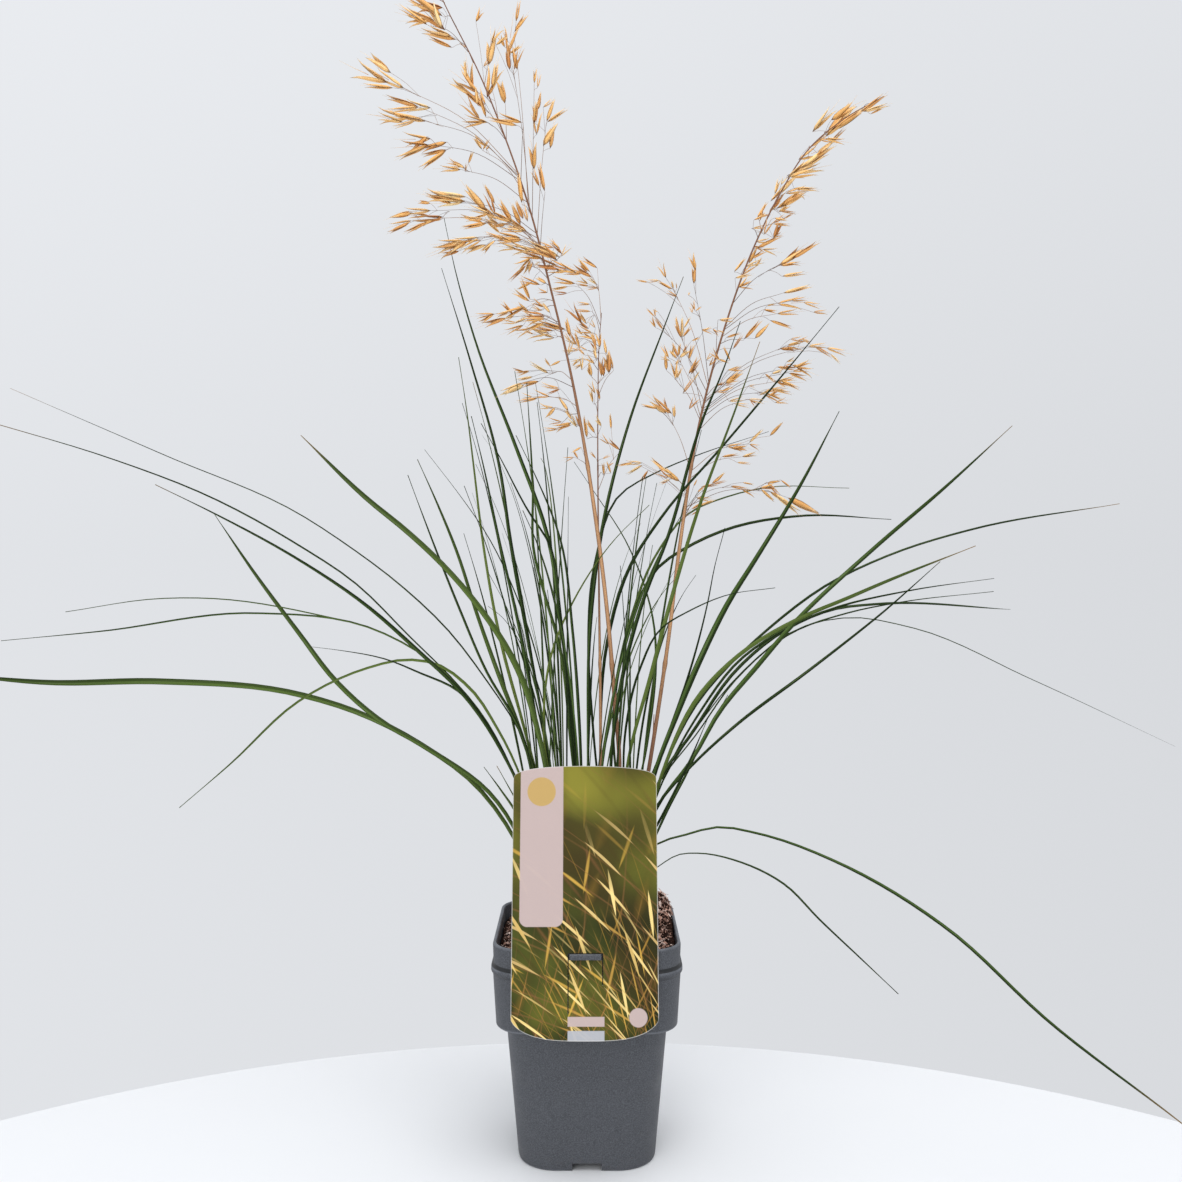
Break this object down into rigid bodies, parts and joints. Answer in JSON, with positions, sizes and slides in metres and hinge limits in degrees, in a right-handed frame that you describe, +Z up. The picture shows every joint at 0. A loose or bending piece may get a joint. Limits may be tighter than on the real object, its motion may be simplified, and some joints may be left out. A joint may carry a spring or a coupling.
{
  "type": "potted giant feather grass",
  "caption": "Tufted ornamental grass with long arching leaves and tall golden oat-like flower sprays, growing in a deep square pot with a hang-on label card.",
  "frame": {"origin": "centre of the pot's underside, on the surface that the pot stands on", "axes": "+Z up along the pot's axis, -Y towards the pot's front where the label card hangs, +X to the right of someone who faces the card"},
  "size_m": [1.153, 0.5115, 0.9613],
  "materials": {
    "pot_plastic": "moulded dark blue-grey polypropylene, matt with a soft sheen on the rim",
    "potting_soil": null,
    "label_print": null,
    "leaf_green": null,
    "ripe_straw": null
  },
  "bodies": {
    "root": {"pot": "pot_plastic", "soil": "potting_soil", "label_card": "label_print", "leaf_shoot_01": "leaf_green", "leaf_shoot_02": "leaf_green", "leaf_shoot_03": "leaf_green", "leaf_shoot_04": "leaf_green", "leaf_shoot_05": "leaf_green", "leaf_shoot_06": "leaf_green", "leaf_shoot_07": "leaf_green", "leaf_shoot_08": "leaf_green", "leaf_shoot_09": "leaf_green", "leaf_shoot_10": "leaf_green", "leaf_shoot_11": "leaf_green", "leaf_shoot_12": "leaf_green", "flower_stem_1": "ripe_straw", "flower_stem_2": "ripe_straw", "flower_stem_3": "ripe_straw"}
  },
  "joints": []
}
